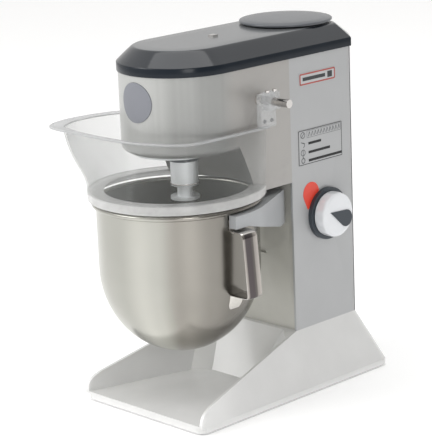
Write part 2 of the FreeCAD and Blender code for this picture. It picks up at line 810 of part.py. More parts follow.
def guard_shell():
    lip_edge = guard_rim_points()
    rim = moved_in(lip_edge, GUARD_LIP)
    foot = guard_ring_points()
    foot_inside = moved_in(foot, GUARD_WALL)
    rim_inside = moved_in(rim, GUARD_WALL)
    lip_bottom = GUARD_TOP - GUARD_WALL
    outer = wedge(level(foot, GUARD_BAND_TOP), level(rim, lip_bottom))
    wall = outer.cut(wedge(level(foot_inside, GUARD_BAND_TOP), level(rim_inside, lip_bottom)))
    band = plan(foot, GUARD_BOTTOM, GUARD_BAND_TOP)
    band = band.cut(upright(GUARD_BORE, 0, BOWL_Y, GUARD_BOTTOM, GUARD_BAND_TOP))
    skirt_inner = GUARD_RADIUS - 9
    band = band.cut(upright(skirt_inner, 0, BOWL_Y, GUARD_BOTTOM, GUARD_BAND_TOP - GUARD_WALL))
    lip = plan(lip_edge, lip_bottom, GUARD_TOP)
    lip = lip.cut(plan(rim_inside, lip_bottom, GUARD_TOP))
    body = wall.fuse(band).fuse(lip)
    return body.cut(box(-95, 95, -60, 20, 300, 420)).cut(box(-200, 200, -33, 20, 300, 420))


def guard_arms():
    arm = box(ARM_INNER, ARM_OUTER, -50, -20, GUARD_TOP, 458)
    arm = arm.cut(rod(HINGE_PIN + RUNNING_FIT, (90, HINGE_Y, HINGE_Z), (130, HINGE_Y, HINGE_Z)))
    return both_sides(arm)


def guard_clamps():
    block = box(ARM_OUTER, CLAMP_OUTER, -46, -24, 436, 461)
    block = block.cut(rod(HINGE_PIN + RUNNING_FIT, (90, HINGE_Y, HINGE_Z), (140, HINGE_Y, HINGE_Z)))
    return both_sides(block)


def guard_screws():
    screws = []
    for y in (-42, -28):
        screws.append(rod(3.2, (113, y, 461), (113, y, 464)))
    return both_sides(Part.makeCompound(screws))


def hinge_pins():
    pin = rod(HINGE_PIN, (80, HINGE_Y, HINGE_Z), (HINGE_END, HINGE_Y, HINGE_Z))
    collar = rod(8.5, (HALF_WIDTH, HINGE_Y, HINGE_Z), (93, HINGE_Y, HINGE_Z))
    return both_sides(pin.fuse(collar))


def guard_switch():
    return box(62, 79, HINGE_Y - 8, HINGE_Y + 8, HINGE_Z - 9, HINGE_Z + 9)


# ---------------------------------------------------------------- knob and plates
def across(radius, x0, x1):
    return rod(radius, (x0, KNOB_Y, KNOB_Z), (x1, KNOB_Y, KNOB_Z))


def knob_ring():
    return across(KNOB_RING, HALF_WIDTH, 94.8).cut(across(6, 80, 100))


def knob():
    body = across(KNOB_RADIUS, KNOB_BACK, KNOB_FACE)
    front = [e for e in body.Edges if abs(e.CenterOfMass.x - KNOB_FACE) < 0.1]
    body = body.makeFillet(3.0, front)
    return body.cut(across(3, 90, 108))


def teardrop(tip, centre, radius, x0, x1):
    """A disc drawn out to a point, from (y, z) places."""
    away = math.atan2(tip[1] - centre[1], tip[0] - centre[0])
    reach = math.hypot(tip[0] - centre[0], tip[1] - centre[1])
    touch = math.acos(radius / reach)
    corners = [tip]
    for angle in (away + touch, away - touch):
        corners.append((centre[0] + radius * math.cos(angle), centre[1] + radius * math.sin(angle)))
    return rod(radius, (x0, *centre), (x1, *centre)).fuse(profile(corners, x0, x1))


def knob_pointer():
    """A dark drop whose point shows the chosen speed."""
    tip = (KNOB_Y - 17.6, KNOB_Z + 6.6)
    return teardrop(tip, (KNOB_Y + 16, KNOB_Z - 7.5), 12.5, KNOB_FACE, KNOB_FACE + 1.2)


def knob_shaft():
    return across(3, 72, 108)


def potentiometer():
    body = across(12, 66, INNER_HALF).fuse(across(5, INNER_HALF, 93))
    return body.cut(across(3 + RUNNING_FIT, 70, 110))


def chart_plate():
    return box(HALF_WIDTH, HALF_WIDTH + 0.6, 43.5, 137.5, 335, 387)


def name_plate():
    return box(HALF_WIDTH, HALF_WIDTH + 0.6, 49, 126, 452, 470)


def drop_label():
    """A coloured drop with its tip low and towards the front, partly under the dial ring."""
    label = teardrop((60, 267), (68, 290.5), 16.8, HALF_WIDTH, HALF_WIDTH + 0.5)
    return label.cut(across(KNOB_RING + 0.5, 80, 100))


# ---------------------------------------------------------------- all sub-parts
def build():
    return {
        "base_shell": base_shell(),
        "base_plate": base_plate(),
        "base_studs": base_studs(),
        "rubber_feet": rubber_feet(),
        "cable_gland": cable_gland(),
        "column_shell": column_shell(),
        "column_front_plate": column_front_plate(),
        "rear_cover": rear_cover(),
        "rear_cover_screws": rear_cover_screws(),
        "head_shell": head_shell(),
        "nose_plug": nose_plug(),
        "top_cover": top_cover(),
        "vent_cap": vent_cap(),
        "cover_fastener": cover_fastener(),
        "frame_plate": frame_plate(),
        "frame_posts": frame_posts(),
        "gearbox_housing": gearbox_housing(),
        "ring_gear": ring_gear(),
        "carrier_bearings": carrier_bearings(),
        "motor_body": motor_body(),
        "motor_mount": motor_mount(),
        "drive_belt": drive_belt(),
        "control_board": control_board(),
        "board_posts": board_posts(),
        "guide_rods": guide_rods(),
        "rod_brackets": rod_brackets(),
        "lever_bushing": lever_bushing(),
        "potentiometer": potentiometer(),
        "knob_ring": knob_ring(),
        "chart_plate": chart_plate(),
        "name_plate": name_plate(),
        "drop_label": drop_label(),
        "hinge_pins": hinge_pins(),
        "guard_switch": guard_switch(),
        "planet_carrier": planet_carrier(),
        "carrier_shaft": carrier_shaft(),
        "drive_pulley": pulley(DRIVE_PULLEY, CARRIER_SHAFT, BOWL_Y),
        "beater_bushes": beater_bushes(),
        "planet_gear": planet_gear(),
        "beater_shaft": beater_shaft(),
        "coupling_disc": coupling_disc(),
        "motor_shaft": motor_shaft(),
        "motor_pulley": pulley(MOTOR_PULLEY, 8 - RUNNING_FIT, MOTOR_Y),
        "yoke": yoke(),
        "slide_block": slide_block(),
        "rack": rack(),
        "bowl": bowl(),
        "bowl_handles": bowl_handles(),
        "lever_shaft": lever_shaft(),
        "lift_pinion": lift_pinion(),
        "lever_arm": lever_arm(),
        "lever_knob": lever_knob(),
        "guard_shell": guard_shell(),
        "guard_arms": guard_arms(),
        "guard_clamps": guard_clamps(),
        "guard_screws": guard_screws(),
        "knob": knob(),
        "knob_pointer": knob_pointer(),
        "knob_shaft": knob_shaft(),
    }


os.makedirs("parts", exist_ok=True)
for node_name, node_shape in build().items():
    save(node_name, node_shape)
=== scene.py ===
"""Looks of the tabletop planetary mixer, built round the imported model."""
import bmesh
import bpy
import math
from mathutils import Matrix, Vector


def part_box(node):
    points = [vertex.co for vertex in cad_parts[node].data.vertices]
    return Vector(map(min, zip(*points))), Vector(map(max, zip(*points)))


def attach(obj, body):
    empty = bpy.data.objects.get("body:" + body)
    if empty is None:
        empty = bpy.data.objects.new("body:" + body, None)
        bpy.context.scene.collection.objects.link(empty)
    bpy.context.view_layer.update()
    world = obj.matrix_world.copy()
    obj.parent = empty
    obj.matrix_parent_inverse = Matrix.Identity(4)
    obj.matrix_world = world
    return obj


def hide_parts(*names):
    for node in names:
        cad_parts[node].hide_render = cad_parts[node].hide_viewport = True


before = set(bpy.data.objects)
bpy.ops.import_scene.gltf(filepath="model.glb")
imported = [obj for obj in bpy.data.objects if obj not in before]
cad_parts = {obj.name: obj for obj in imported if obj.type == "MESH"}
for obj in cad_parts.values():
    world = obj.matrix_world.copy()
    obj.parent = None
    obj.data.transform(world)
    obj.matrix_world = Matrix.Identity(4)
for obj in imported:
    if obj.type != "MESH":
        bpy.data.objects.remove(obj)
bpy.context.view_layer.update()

# Sizes are in millimetres from the machine's middle plane, the front of its neck and the
# surface that it stands on, as in the model. The column's box gives where that point lies.
COLUMN_LOW, COLUMN_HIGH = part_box("column_shell")
COLUMN_FRONT = 28.7
MIDDLE_X = (COLUMN_LOW[0] + COLUMN_HIGH[0]) / 2
DATUM_Y = COLUMN_LOW[1] - COLUMN_FRONT / 1000
BOWL_Y = -117.3
NOSE_Y = -100.0


def at(x, y, z):
    """A point of the machine, in millimetres, as a place in the frame, in metres."""
    return Vector((MIDDLE_X + x / 1000, DATUM_Y + y / 1000, z / 1000))


# ---------------------------------------------------------------- materials
def linear(red, green, blue):
    """A display colour, 0 to 255, as the linear colour that a shader takes."""
    shares = [c / 255 for c in (red, green, blue)]
    return [s / 12.92 if s <= 0.04045 else ((s + 0.055) / 1.055) ** 2.4 for s in shares]


def finish(name, colour, metal=0.0, rough=0.4, spread=0.05, rough_spread=0.08, patch=18.0,
           grain=900.0, bump=0.03, stretch=(1, 1, 1), coat=0.0, wear=0.0, alpha=1.0,
           specular=0.5, edge_alpha=None):
    """A surface with uneven colour and gloss, a fine grain and, on metal, a brushed lay."""
    material = bpy.data.materials.new(name)
    material.use_nodes = True
    nodes = material.node_tree.nodes
    links = material.node_tree.links
    shader = nodes["Principled BSDF"]
    place = nodes.new("ShaderNodeTexCoord")
    lay = nodes.new("ShaderNodeMapping")
    lay.inputs["Scale"].default_value = stretch
    links.new(place.outputs["Object"], lay.inputs["Vector"])

    cloud = nodes.new("ShaderNodeTexNoise")
    cloud.inputs["Scale"].default_value = patch
    cloud.inputs["Detail"].default_value = 4
    links.new(place.outputs["Object"], cloud.inputs["Vector"])
    fine = nodes.new("ShaderNodeTexNoise")
    fine.inputs["Scale"].default_value = grain
    fine.inputs["Detail"].default_value = 3
    links.new(lay.outputs["Vector"], fine.inputs["Vector"])

    tone = nodes.new("ShaderNodeValToRGB")
    tone.color_ramp.elements[0].position = 0.3
    tone.color_ramp.elements[1].position = 0.7
    tone.color_ramp.elements[0].color = [c * (1 - spread) for c in colour] + [1]
    tone.color_ramp.elements[1].color = [min(c * (1 + spread), 1) for c in colour] + [1]
    links.new(cloud.outputs["Fac"], tone.inputs["Fac"])

    speck = nodes.new("ShaderNodeMix")
    speck.data_type = "RGBA"
    speck.blend_type = "MULTIPLY"
    speck.inputs["Factor"].default_value = 0.5
    shade = nodes.new("ShaderNodeValToRGB")
    shade.color_ramp.elements[0].position = 0.25
    shade.color_ramp.elements[1].position = 0.75
    low = 1 - spread * 1.5
    shade.color_ramp.elements[0].color = (low, low, low, 1)
    shade.color_ramp.elements[1].color = (1, 1, 1, 1)
    links.new(fine.outputs["Fac"], shade.inputs["Fac"])
    links.new(tone.outputs["Color"], speck.inputs["A"])
    links.new(shade.outputs["Color"], speck.inputs["B"])
    painted = speck.outputs["Result"]

    if wear:
        edge = nodes.new("ShaderNodeNewGeometry")
        rim = nodes.new("ShaderNodeMapRange")
        rim.inputs["From Min"].default_value = 0.53
        rim.inputs["From Max"].default_value = 0.62
        rim.inputs["To Max"].default_value = wear
        links.new(edge.outputs["Pointiness"], rim.inputs["Value"])
        rubbed = nodes.new("ShaderNodeMix")
        rubbed.data_type = "RGBA"
        rubbed.inputs["B"].default_value = [min(c * 1.5 + 0.05, 1) for c in colour] + [1]
        links.new(rim.outputs["Result"], rubbed.inputs["Factor"])
        links.new(painted, rubbed.inputs["A"])
        painted = rubbed.outputs["Result"]
    links.new(painted, shader.inputs["Base Color"])

    gloss = nodes.new("ShaderNodeMapRange")
    gloss.inputs["To Min"].default_value = max(rough - rough_spread, 0.02)
    gloss.inputs["To Max"].default_value = min(rough + rough_spread, 1)
    blend = nodes.new("ShaderNodeMath")
    blend.operation = "MULTIPLY_ADD"
    blend.inputs[1].default_value = 0.5
    halved = nodes.new("ShaderNodeMath")
    halved.operation = "MULTIPLY"
    halved.inputs[1].default_value = 0.5
    links.new(fine.outputs["Fac"], halved.inputs[0])
    links.new(cloud.outputs["Fac"], blend.inputs[0])
    links.new(halved.outputs["Value"], blend.inputs[2])
    links.new(blend.outputs["Value"], gloss.inputs["Value"])
    links.new(gloss.outputs["Result"], shader.inputs["Roughness"])

    relief = nodes.new("ShaderNodeBump")
    relief.inputs["Strength"].default_value = bump
    relief.inputs["Distance"].default_value = 0.0004
    links.new(fine.outputs["Fac"], relief.inputs["Height"])
    links.new(relief.outputs["Normal"], shader.inputs["Normal"])

    shader.inputs["Metallic"].default_value = metal
    shader.inputs["Coat Weight"].default_value = coat
    shader.inputs["Coat Roughness"].default_value = 0.08
    shader.inputs["Specular IOR Level"].default_value = specular
    shader.inputs["Alpha"].default_value = alpha
    if edge_alpha is not None:
        facing = nodes.new("ShaderNodeLayerWeight")
        facing.inputs["Blend"].default_value = 0.35
        veil = nodes.new("ShaderNodeMapRange")
        veil.inputs["To Min"].default_value = alpha
        veil.inputs["To Max"].default_value = edge_alpha
        links.new(facing.outputs["Facing"], veil.inputs["Value"])
        links.new(veil.outputs["Result"], shader.inputs["Alpha"])
    return material


ROUND_BRUSH = (0.12, 0.12, 6.0)
LONG_BRUSH = (6.0, 0.12, 6.0)

BASE_PAINT = finish("base_enamel", linear(223, 223, 222), rough=0.24, metal=0.2, wear=0.5,
                    spread=0.03, grain=2200, bump=0.05, coat=0.15)
SIDE_PAINT = finish("side_enamel", linear(165, 166, 167), rough=0.4, metal=0.3, wear=0.25,
                    spread=0.03, grain=2200, bump=0.05)
HEAD_PAINT = finish("head_enamel", linear(168, 168, 167), rough=0.3, metal=0.35, wear=0.25,
                    spread=0.03, grain=2200, bump=0.04, coat=0.2)
FRONT_PAINT = finish("front_paint", linear(200, 199, 192), rough=0.4, metal=0.3)
YOKE_PAINT = finish("yoke_casting", linear(158, 160, 162), rough=0.45, metal=0.2, wear=0.3,
                    spread=0.06, grain=700, bump=0.12)
COVER_GLOSS = finish("cover_gloss", linear(28, 33, 40), rough=0.12, rough_spread=0.03,
                     spread=0.1, grain=1500, bump=0.01, coat=0.3, specular=0.6)
CAP_GLOSS = finish("cap_gloss", linear(84, 87, 92), rough=0.26, rough_spread=0.04,
                   spread=0.06, grain=1500, bump=0.015, coat=0.2)
STEEL_ROUND = finish("bowl_steel", linear(249, 246, 240), metal=1.0, rough=0.25, spread=0.05,
                     rough_spread=0.05, grain=420, stretch=ROUND_BRUSH, bump=0.05, patch=9)
STEEL_POLISHED = finish("polished_steel", linear(212, 209, 206), metal=1.0, rough=0.1,
                        rough_spread=0.05, spread=0.05, grain=500, stretch=LONG_BRUSH, bump=0.03)
STEEL_TURNED = finish("turned_steel", linear(205, 206, 208), metal=1.0, rough=0.26, spread=0.05,
                      grain=600, stretch=ROUND_BRUSH, bump=0.06)
STEEL_DARK = finish("machined_steel", linear(140, 141, 143), metal=1.0, rough=0.35, spread=0.1,
                    grain=500, bump=0.08)
ALLOY = finish("cast_alloy", linear(190, 191, 192), metal=0.85, rough=0.38, spread=0.08,
               grain=500, bump=0.12)
SHEET = finish("grey_sheet", linear(120, 121, 122), metal=0.4, rough=0.5, spread=0.08)
BRONZE = finish("bronze", linear(190, 150, 90), metal=1.0, rough=0.35, spread=0.12)
RUBBER = finish("black_rubber", linear(38, 38, 39), rough=0.75, spread=0.15, grain=1200,
                bump=0.2)
BLACK_PLASTIC = finish("black_plastic", linear(40, 41, 43), rough=0.45, spread=0.1,
                       grain=1500, bump=0.1)
CHARCOAL = finish("charcoal_plastic", linear(52, 59, 66), rough=0.4, spread=0.08, grain=1600,
                  bump=0.08)
WHITE_GLOSS = finish("white_gloss", linear(225, 227, 230), rough=0.16, rough_spread=0.04,
                     spread=0.02, grain=1200, bump=0.01, coat=0.4)
PLUG_GREY = finish("plug_grey", linear(126, 128, 135), rough=0.5, spread=0.04, grain=1500,
                   bump=0.08)
BOARD = finish("board_green", linear(40, 96, 66), rough=0.45, spread=0.15)
LABEL_RED = finish("label_red", linear(226, 68, 48), rough=0.35, spread=0.04, coat=0.2)
LABEL_SILVER = finish("label_silver", linear(186, 187, 188), rough=0.35, metal=0.3,
                      spread=0.04)
PRINT_DARK = finish("print_dark", linear(52, 54, 56), rough=0.5, spread=0.1)
PRINT_GREY = finish("print_grey", linear(92, 94, 96), rough=0.5, spread=0.1)
PRINT_BLACK = finish("print_black", linear(22, 23, 24), rough=0.5, spread=0.1)
PRINT_RED = finish("print_red", linear(170, 84, 76), rough=0.5, spread=0.1)
CLEAR = finish("clear_guard", linear(158, 160, 158), rough=0.1, rough_spread=0.05,
               spread=0.04, patch=10, grain=40, bump=0.01, alpha=0.1, edge_alpha=0.5)
CLEAR_RIM = finish("clear_rim", linear(196, 197, 198), rough=0.12, spread=0.05, patch=30,
                   grain=80, bump=0.01, alpha=0.42, edge_alpha=0.9)
CLEAR_BAND = finish("clear_band", linear(224, 224, 223), rough=0.18, spread=0.08, patch=60,
                    grain=200, alpha=0.5, edge_alpha=0.85)
COVER_BAND = finish("cover_band", linear(24, 31, 39), rough=0.22, spread=0.1, specular=0.25)
# The lid's flat top: the same dark gloss plastic, painted paler as a painted reflection.
COVER_TOP_REFLECTION = finish("cover_top_painted_reflection", linear(104, 106, 108), rough=0.2, rough_spread=0.03,
                    spread=0.08, coat=0.2)
WELD = finish("weld_steel", linear(215, 212, 206), metal=1.0, rough=0.3, rough_spread=0.15,
              spread=0.2, grain=500, bump=0.5)
CLEAR_THICK = finish("clear_blocks", linear(214, 217, 219), rough=0.12, spread=0.03,
                     alpha=0.16, edge_alpha=0.6)
FLOOR_WHITE = finish("studio_floor", linear(252, 252, 252), rough=0.7, spread=0.004, bump=0.0)
FLOOR_GLOW = FLOOR_WHITE.node_tree.nodes["Principled BSDF"].inputs
FLOOR_GLOW["Emission Color"].default_value = (1, 1, 1, 1)
FLOOR_GLOW["Emission Strength"].default_value = 0.13
HUB_STEEL = finish("hub_steel", linear(240, 242, 245), metal=0.25, rough=0.3, spread=0.05,
                   grain=600, stretch=ROUND_BRUSH, bump=0.05)
# Steel for the straps' outer faces, which carries the painted reflection streak.
STRAP_REFLECTION_STEEL = finish("strap_painted_reflection", linear(216, 212, 208), metal=1.0, rough=0.12,
                     rough_spread=0.05, spread=0.05, grain=500, stretch=LONG_BRUSH, bump=0.03)


# ---------------------------------------------------------------- painted light and shade
def paint_light_ramp(material, position, stops):
    """Paints light and shade into the surface's colour: multiplies it by a ramp along a position
    from 0 to 1.
    """
    nodes = material.node_tree.nodes
    links = material.node_tree.links
    base = nodes["Principled BSDF"].inputs["Base Color"]
    before = base.links[0].from_socket
    ramp = nodes.new("ShaderNodeValToRGB")
    ramp.color_ramp.interpolation = "EASE"
    elements = ramp.color_ramp.elements
    while len(elements) < len(stops):
        elements.new(0.5)
    for element, (place, value, tint) in zip(elements, stops):
        element.position = place
        element.color = [value * c for c in tint] + [1]
    product = nodes.new("ShaderNodeMix")
    product.data_type = "RGBA"
    product.blend_type = "MULTIPLY"
    product.inputs["Factor"].default_value = 1.0
    links.new(position, ramp.inputs["Fac"])
    links.new(before, product.inputs["A"])
    links.new(ramp.outputs["Color"], product.inputs["B"])
    links.new(product.outputs["Result"], base)


def spin_painted_light(material, centre, stops):
    """Painted reflections and shade as soft upright bands round an axis: (angle in degrees,
    share, tint).
    """
    nodes = material.node_tree.nodes
    links = material.node_tree.links
    place = nodes.new("ShaderNodeTexCoord")
    moved = nodes.new("ShaderNodeMapping")
    moved.inputs["Location"].default_value = -centre
    split = nodes.new("ShaderNodeSeparateXYZ")
    turn = nodes.new("ShaderNodeMath")
    turn.operation = "ARCTAN2"
    share = nodes.new("ShaderNodeMapRange")
    share.inputs["From Min"].default_value = -math.pi
    share.inputs["From Max"].default_value = math.pi
    links.new(place.outputs["Object"], moved.inputs["Vector"])
    links.new(moved.outputs["Vector"], split.inputs["Vector"])
    links.new(split.outputs["Y"], turn.inputs[0])
    links.new(split.outputs["X"], turn.inputs[1])
    links.new(turn.outputs["Value"], share.inputs["Value"])
    paint_light_ramp(material, share.outputs["Result"],
                [((angle + 180) / 360, value, tint) for angle, value, tint in stops])


def span_painted_light(material, axis, low, high, stops):
    """Painted light and shade as bands laid along one axis of the object, from low to high in
    metres.
    """
    nodes = material.node_tree.nodes
    links = material.node_tree.links
    place = nodes.new("ShaderNodeTexCoord")
    split = nodes.new("ShaderNodeSeparateXYZ")
    share = nodes.new("ShaderNodeMapRange")
    share.inputs["From Min"].default_value = low
    share.inputs["From Max"].default_value = high
    links.new(place.outputs["Object"], split.inputs["Vector"])
    links.new(split.outputs[axis], share.inputs["Value"])
    paint_light_ramp(material, share.outputs["Result"], stops)


WARM = (1.0, 0.968, 0.94)
COOL = (0.99, 1.0, 0.985)
# Painted reflections on the bowl: lighter and darker upright bands round its axis.
BOWL_PAINTED_REFLECTIONS = [
    (-180, 0.66, COOL), (-150, 0.74, COOL), (-128, 0.68, COOL), (-100, 0.56, COOL),
    (-88, 0.54, COOL), (-70, 0.68, COOL), (-60, 0.64, COOL), (-44, 0.43, WARM),
    (-36, 0.46, WARM), (-20, 0.37, WARM), (0, 0.29, WARM), (18, 0.32, WARM), (48, 0.6, COOL),
    (75, 0.8, COOL), (110, 0.55, COOL), (145, 0.72, COOL), (180, 0.66, COOL),
]
spin_painted_light(STEEL_ROUND, at(0, BOWL_Y, 0), BOWL_PAINTED_REFLECTIONS)

# Painted light and shade on the head, in bands round the nose.
HEAD_PAINTED_SHADE = [
    (-180, 0.95, COOL), (-100, 1.0, COOL), (-62, 1.0, COOL), (-50, 0.84, COOL), (-36, 0.76, COOL),
    (-10, 0.78, COOL), (15, 0.86, WARM), (60, 0.86, WARM), (90, 0.9, WARM), (180, 0.95, COOL),
]
spin_painted_light(HEAD_PAINT, at(0, NOSE_Y, 0), HEAD_PAINTED_SHADE)

# Painted reflections on the hub, in bands round its axis.
HUB_PAINTED_REFLECTIONS = [
    (-180, 0.6, COOL), (-150, 0.8, COOL), (-110, 1.0, COOL), (-78, 0.86, COOL),
    (-44, 1.0, COOL), (-12, 0.95, COOL), (5, 0.62, COOL), (25, 0.55, COOL), (45, 0.8, COOL),
    (100, 0.5, COOL), (140, 0.75, COOL), (180, 0.5, COOL),
]
HUB_LOW, HUB_HIGH = [Vector(c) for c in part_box("coupling_disc")]
spin_painted_light(HUB_STEEL, (HUB_LOW + HUB_HIGH) / 2, HUB_PAINTED_REFLECTIONS)

# Painted reflection: the bowl's round bottom is painted lighter than its wall.
span_painted_light(STEEL_ROUND, "Z", at(0, 0, 105).z, at(0, 0, 190).z,
           [(0.0, 1.0, COOL), (1.0, 0.79, COOL)])

# Painted reflection: a dark streak painted along the front of each strap, lighter behind it.
REFLECTION_DUSK = (0.94, 0.86, 0.92)
STRAP_HALF = 14
span_painted_light(STRAP_REFLECTION_STEEL, "Y", at(0, BOWL_Y - STRAP_HALF, 0).y, at(0, BOWL_Y + STRAP_HALF, 0).y, [
    (0.0, 0.7, WARM), (0.08, 0.5, WARM), (0.16, 0.17, REFLECTION_DUSK), (0.45, 0.16, REFLECTION_DUSK),
    (0.62, 0.2, WARM), (0.72, 0.5, WARM), (0.92, 0.62, WARM), (1.0, 0.75, WARM),
])

# ---------------------------------------------------------------- looks of the model's parts
NODE_MATERIALS = {
    BASE_PAINT: "base_shell",
    SIDE_PAINT: "column_shell rear_cover chart_plate",
    FRONT_PAINT: "column_front_plate",
    HEAD_PAINT: "head_shell",
    YOKE_PAINT: "yoke",
    COVER_GLOSS: "top_cover",
    CAP_GLOSS: "vent_cap",
    STEEL_ROUND: "bowl",
    STEEL_POLISHED: "bowl_handles cover_fastener guide_rods hinge_pins guard_screws "
                    "rear_cover_screws",
    STEEL_TURNED: "carrier_shaft motor_shaft lever_shaft knob_shaft",
    STEEL_DARK: "ring_gear planet_gear rack lift_pinion carrier_bearings base_studs "
                "board_posts frame_posts",
    HUB_STEEL: "planet_carrier coupling_disc beater_shaft",
    ALLOY: "frame_plate gearbox_housing slide_block rod_brackets "
           "drive_pulley motor_pulley motor_mount lever_arm",
    SHEET: "base_plate motor_body",
    BRONZE: "beater_bushes lever_bushing",
    RUBBER: "rubber_feet drive_belt",
    BLACK_PLASTIC: "cable_gland potentiometer guard_switch lever_knob",
    BOARD: "control_board",
    PLUG_GREY: "nose_plug",
    CHARCOAL: "knob_ring knob_pointer",
    WHITE_GLOSS: "knob",
    LABEL_SILVER: "name_plate",
    LABEL_RED: "drop_label",
    CLEAR: "guard_shell",
    CLEAR_THICK: "guard_arms guard_clamps",
}


def dress(node, material):
    """Puts one material on every slot of a part of the model."""
    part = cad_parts[node]
    if not part.material_slots:
        part.data.materials.append(material)
    for slot in part.material_slots:
        slot.material = material


def soften(part, width):
    """Breaks the sharp edges by a width in millimetres."""
    bevel = part.modifiers.new("edges", "BEVEL")
    bevel.width = width / 1000
    bevel.segments = 2
    bevel.limit_method = "ANGLE"
    bevel.angle_limit = math.radians(35)
    bevel.harden_normals = True


for paint, names in NODE_MATERIALS.items():
    for node_name in names.split():
        dress(node_name, paint)

SOFT_NODES = {
    "column_shell": 1.6, "column_front_plate": 0.6, "rear_cover": 1.0, "head_shell": 0.8,
    "yoke": 1.6, "knob": 0.6, "knob_ring": 1.0, "coupling_disc": 0.7, "planet_carrier": 0.8,
    "hinge_pins": 0.8, "cover_fastener": 0.5, "guard_clamps": 1.0, "guard_arms": 0.8,
    "knob_pointer": 0.4, "lever_arm": 0.8, "slide_block": 0.8, "nose_plug": 0.4,
}
for node_name, width in SOFT_NODES.items():
    soften(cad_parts[node_name], width)


# ---------------------------------------------------------------- mesh helpers
def piece(name, points, faces, material, body, node=None, sharp=35, keep_flat=False):
    """A mesh from points in machine millimetres that rides on a body."""
    mesh = bpy.data.meshes.new(name)
    mesh.from_pydata([at(*p) for p in points], [], faces)
    mesh.validate()
    shape = bmesh.new()
    shape.from_mesh(mesh)
    bmesh.ops.recalc_face_normals(shape, faces=shape.faces)
    shape.to_mesh(mesh)
    shape.free()
    mesh.materials.append(material)
    made = bpy.data.objects.new(name, mesh)
    bpy.context.scene.collection.objects.link(made)
    if not keep_flat:
        mesh.shade_smooth()
        mesh.set_sharp_from_angle(angle=math.radians(sharp))
    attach(made, body)
    if node:
        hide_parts(node)
    return made


def end_caps(rows, columns, flip=False):
    """The faces that close the first and the last row of a tube of points."""
    first = tuple(range(columns))
    last = tuple(range((rows - 1) * columns, rows * columns))
    return [first[::-1], last] if flip else [first, last[::-1]]


def sheet_faces(rows, columns, wrap_rows=False, wrap_columns=False, first=0):
    """Quads between rows of points; either direction may close on itself."""
    faces = []
    for r in range(rows if wrap_rows else rows - 1):
        for c in range(columns if wrap_columns else columns - 1):
            r2 = (r + 1) % rows
            c2 = (c + 1) % columns
            faces.append((first + r * columns + c, first + r * columns + c2,
                          first + r2 * columns + c2, first + r2 * columns + c))
    return faces


def turned(name, outline, centre, material, body, node=None, steps=96, closed=False,
           sharp=35):
    """A piece turned about an upright axis from (radius, z) points."""
    points = []
    for radius, z in outline:
        for i in range(steps):
            angle = 2 * math.pi * i / steps
            points.append((centre[0] + radius * math.cos(angle),
                           centre[1] + radius * math.sin(angle), z))
    faces = sheet_faces(len(outline), steps, wrap_rows=closed, wrap_columns=True)
    if not closed:
        faces += end_caps(len(outline), steps, flip=True)
    return piece(name, points, faces, material, body, node, sharp)


def bend(start, corner, end, count):
    """Points on the smooth curve from start to end that is pulled towards a corner."""
    made = []
    for i in range(count + 1):
        t = i / count
        made.append(tuple(
            (1 - t) ** 2 * a + 2 * t * (1 - t) * b + t * t * c
            for a, b, c in zip(start, corner, end)
        ))
    return made


def mix(a, b, share):
    """The point that lies a share of the way from a to b."""
    return tuple(p + (q - p) * share for p, q in zip(a, b))


# ---------------------------------------------------------------- guard
GUARD_RIM = [
    (104, -30), (103.5, -80), (103, -129), (100, -176), (84, -194), (51, -211), (10, -223),
    (-125, -223), (-167, -215), (-180, -174), (-178, -138), (-171, -105), (-159, -75),
    (-104, -30),
]
CHUTE_CORNER = (-166, -212)
CORNER_REACH = 58
LIP_WIDTH = 7.5
LIP_EXTRA = 12
WALL_FOOT = 325.5
WALL_TOP = 406.4
WALL_OUTER = 127.4
WALL_INNER = 124.6
WALL_AT_LIP = 3
WALL_STEPS = 10
CHUTE_SWELL = 0.2


def smooth_line(points, rounds=3):
    """Cuts the corners of an open line until it is a smooth curve."""
    for _ in range(rounds):
        cut = [points[0]]
        for a, b in zip(points, points[1:]):
            cut.append((a[0] * 0.75 + b[0] * 0.25, a[1] * 0.75 + b[1] * 0.25))
            cut.append((a[0] * 0.25 + b[0] * 0.75, a[1] * 0.25 + b[1] * 0.75))
        cut.append(points[-1])
        points = cut
    return points


def guard_stations():
    """At each place along the rim: the rim point, its inward direction and the ring bearing."""
    line = smooth_line(GUARD_RIM)
    stations = []
    for i, (x, y) in enumerate(line):
        before = line[max(i - 1, 0)]
        after = line[min(i + 1, len(line) - 1)]
        along = Vector((after[0] - before[0], after[1] - before[1])).normalized()
        inward = Vector((along.y, -along.x))
        if inward.dot(Vector((-x, BOWL_Y - y))) < 0:
            inward = -inward
        bearing = math.atan2(y - BOWL_Y, x)
        stations.append(((x, y), inward, bearing))
    return stations


def sweep(name, section, material, body, node=None):
    """Sweeps a closed section through the guard's stations and closes both ends."""
    rows = [section(*s) for s in guard_stations()]
    count = len(rows[0])
    points = [p for row in rows for p in row]
    faces = sheet_faces(len(rows), count, wrap_columns=True) + end_caps(len(rows), count)
    return piece(name, points, faces, material, body, node, sharp=50)


def ring_point(bearing, radius, z):
    """A point at a bearing from the bowl's axis."""
    return (radius * math.cos(bearing), BOWL_Y + radius * math.sin(bearing), z)


def rim_point(rim, inward, inset, z):
    """A point in from the rim."""
    return (rim[0] + inward.x * inset, rim[1] + inward.y * inset, z)


def corner_share(rim):
    """1 at the corner of the filling chute, falling to 0 along the rim."""
    away = math.hypot(rim[0] - CHUTE_CORNER[0], rim[1] - CHUTE_CORNER[1])
    return math.exp(-(away / CORNER_REACH) ** 2)


def lip_width(rim):
    """The lip is widest at the corner of the filling chute."""
    return LIP_WIDTH + LIP_EXTRA * corner_share(rim)


